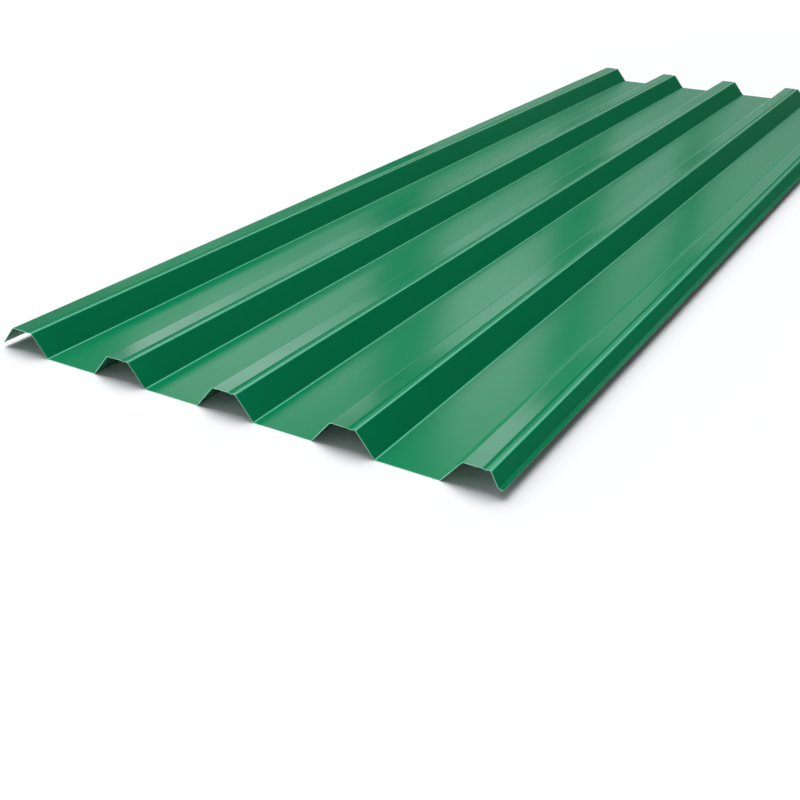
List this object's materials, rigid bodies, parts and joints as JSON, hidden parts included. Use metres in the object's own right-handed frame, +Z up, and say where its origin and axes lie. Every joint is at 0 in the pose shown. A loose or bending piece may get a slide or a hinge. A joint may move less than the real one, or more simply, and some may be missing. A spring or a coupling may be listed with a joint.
{
  "type": "corrugated metal sheet",
  "caption": "Length of green painted steel sheet, roll-formed into trapezoidal ribs and flat pans, with an overlap leg on one long edge and a lipped underlap leg on the other.",
  "frame": {"origin": "middle of the sheet's length and width, on the level that the undersides of the pans lie on", "axes": "+Y along the ribs, away from the end that faces the camera in the picture; +X across the ribs, from the overlap edge to the underlap edge; +Z up, from the pans to the crests"},
  "size_m": [0.8406, 2.5, 0.0357],
  "materials": {
    "green_paint": "satin"
  },
  "bodies": {
    "root": {"profiled_sheet": "green_paint"}
  },
  "joints": []
}
